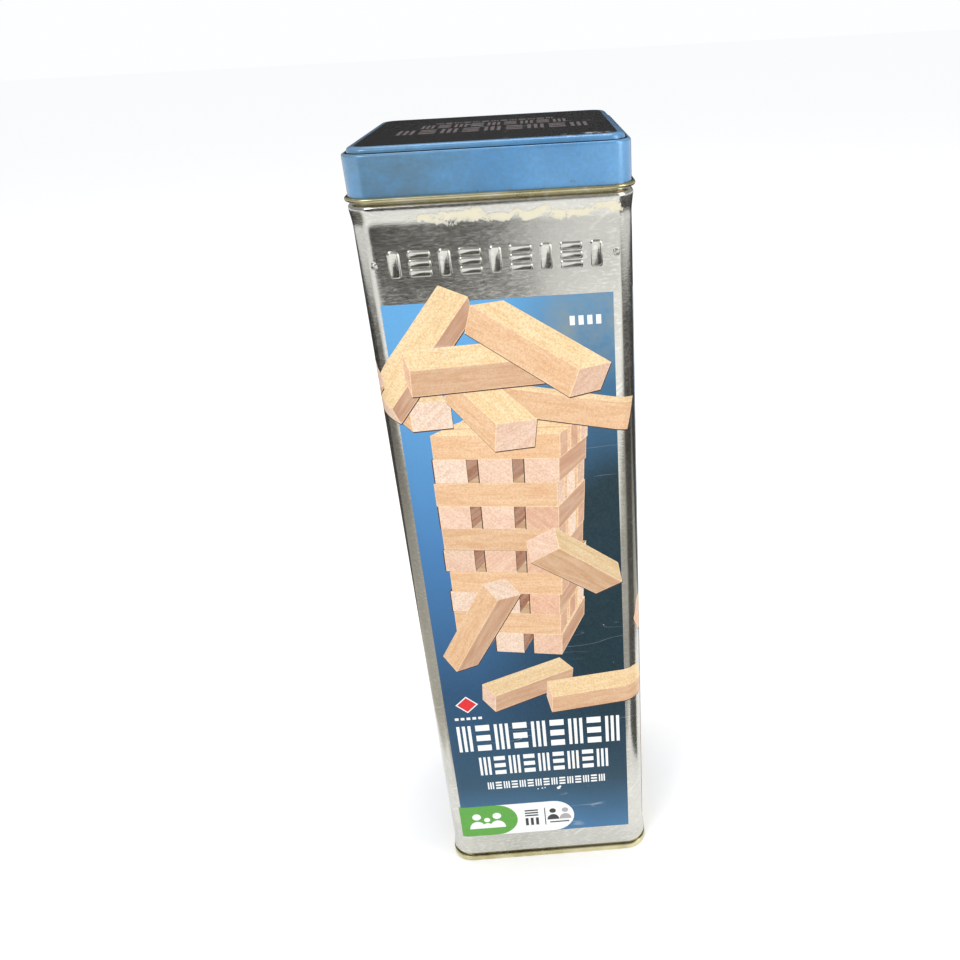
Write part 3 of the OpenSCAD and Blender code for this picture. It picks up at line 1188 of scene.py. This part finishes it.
def make_print(name, shapes, place, body, bends=False):
    """A closed, very thin skin of inks; place(u, z, out) puts it on its surface."""
    flat, kept = subdivided(shapes, bends)
    count = len(flat)
    points = [place(p.x, p.y, out) for out in (SKIN, -SKIN) for p in flat]
    tops = [face for face, _ in kept]
    sides = Counter((a, b) for face in tops for a, b in zip(face, face[1:] + face[:1]))
    rim = [(b, a, a + count, b + count) for a, b in sides if (b, a) not in sides]
    faces = tops + [[i + count for i in reversed(face)] for face in tops] + rim
    used = sorted({i for face in faces for i in face})
    renumbered = {old: new for new, old in enumerate(used)}
    faces = [[renumbered[i] for i in face] for face in faces]
    piece = make_piece(name, [points[i] for i in used], faces, INKS, body)
    paint_faces(piece.data, kept, flat)


# Millimetres for one unit of the inks' coordinates: the panel's u and z, and the grain's
PANEL_UNITS = (100, 300)
GRAIN_UNIT = 4


def paint_faces(mesh, kept, flat):
    """Gives a print's faces their ink and tint, and those that show their coordinates."""
    tint = mesh.color_attributes.new("tint", "FLOAT_COLOR", "CORNER")
    grain = mesh.uv_layers.new(name="grain")
    for number, polygon in enumerate(mesh.polygons):
        face, shape = kept[number % len(kept)]
        polygon.material_index = shape.ink
        for corner in polygon.loop_indices:
            tint.data[corner].color = (*shape.tint, 1)
        if number >= len(kept):
            continue
        for corner, point in zip(polygon.loop_indices, face):
            at = flat[point]
            if shape.ink == PANEL:
                grain.data[corner].uv = (at.x / PANEL_UNITS[0], at.y / PANEL_UNITS[1])
                continue
            shift = shape.number * 3.7
            along = shape.along.normalized()
            away = at - shape.outline[0]
            across = along.x * away.y - along.y * away.x
            grain.data[corner].uv = (away.dot(along) / GRAIN_UNIT + shift, across / GRAIN_UNIT + shift)


def moved(shapes, by):
    """A neighbouring wall's shapes that reach round the corner, seen from this wall."""
    found = []
    for shape in shapes:
        outline = [p + Vector((by, 0)) for p in shape.outline]
        if shape.ink != PANEL and any(abs(p.x) < SIDE / 2 for p in outline):
            found.append(shape._replace(outline=outline))
    return found


def make_prints():
    """The lid's print and the walls'; a wall's takes in what reaches round its corners."""
    walls = {
        "front_print": front_picture(),
        "right_print": side_picture(21, 1),
        "back_print": back_picture(),
        "left_print": side_picture(34, -1),
    }
    pictures = list(walls.values())
    for side, name in enumerate(walls):
        panel, *own = pictures[side].shapes
        round_left = moved(pictures[side - 1].shapes, -SIDE)
        round_right = moved(pictures[(side + 1) % 4].shapes, SIDE)

        def place(u, z, out, side=side):
            return on_wall(side * SIDE + u, z, out)

        shapes = [panel] + round_left + round_right + own
        make_print(name, shapes, place, "tin", bends=True)
    make_print("lid_print", lid_picture().shapes, lambda u, v, out: (-u, -v, LID_TOP + out),
               "slip_lid")


# ---- blocks and leaflet

# Pale ground, warm ground, streak and pore of each wood tone
WOOD_TONES = [
    ((0.68, 0.47, 0.27), (0.60, 0.38, 0.20), (0.50, 0.29, 0.14), (0.30, 0.15, 0.07)),
    ((0.74, 0.54, 0.33), (0.66, 0.44, 0.24), (0.55, 0.34, 0.17), (0.33, 0.18, 0.08)),
    ((0.63, 0.40, 0.22), (0.55, 0.32, 0.16), (0.44, 0.24, 0.11), (0.26, 0.12, 0.05)),
    ((0.71, 0.48, 0.33), (0.62, 0.39, 0.25), (0.52, 0.30, 0.18), (0.32, 0.16, 0.09)),
]


def dress_blocks():
    """Wood on the CAD blocks, its grain along each block, and edges sanded round."""
    woods = [[wood_material(f"wood_{axis}_{i}", axis, tones) for i, tones in enumerate(WOOD_TONES)]
             for axis in (0, 1)]
    dice = random.Random(48)
    for node in sorted(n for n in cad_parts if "_block_" in n):
        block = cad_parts[node]
        reach = high(node) - low(node)
        wood = dice.choice(woods[int(reach.y > reach.x)])
        for slot in block.material_slots:
            slot.material = wood
        rounding = block.modifiers.new("sanded", "BEVEL")
        rounding.width = 0.3 * MM
        rounding.segments = 2
        rounding.angle_limit = math.radians(30)
        rounding.harden_normals = True


def make_leaflet(paper):
    """A sheet folded once: two leaves with a round fold between, the upper a little open."""
    start, end = low("rules_leaflet"), high("rules_leaflet")
    thick, sag, gape = 0.2, 0.04, 0.1
    under, over = start.z + thick / 2, end.z - thick / 2 - 0.12
    radius = (over - under) / 2
    fold = arc((start.x + radius + thick / 2, under + radius), radius, 270, 90, 10)
    path = [(end.x, under), (0, under)] + fold
    path += [(start.x + 10, over), (0, over - sag), (end.x - 1, over + gape)]
    outline = thickened([Vector(p) for p in path], thick)
    rings = [[(x, y, z) for x, z in outline] for y in (end.y, -end.y)]
    points, faces = [], []
    raised(points, faces, rings)
    leaflet = make_piece("folded_leaflet", points, faces, [paper], "leaflet")
    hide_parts("rules_leaflet")

    def on_leaf(u, v, out):
        slope = (gape + sag) / (end.x - 1) if u > 0 else sag / (start.x + 10)
        return u, v, over - sag + thick / 2 + slope * u + out

    make_print("leaflet_print", leaflet_picture().shapes, on_leaf, "leaflet")


make_camera()
make_studio()
make_floor(floor_material())
make_flags()
make_tin_body()
make_tin_bottom()
make_lid()
make_frieze("frieze_front", 0)
make_frieze("frieze_back", 2 * SIDE)
make_side_seam()
make_prints()
dress_blocks()
make_leaflet(paper_material())
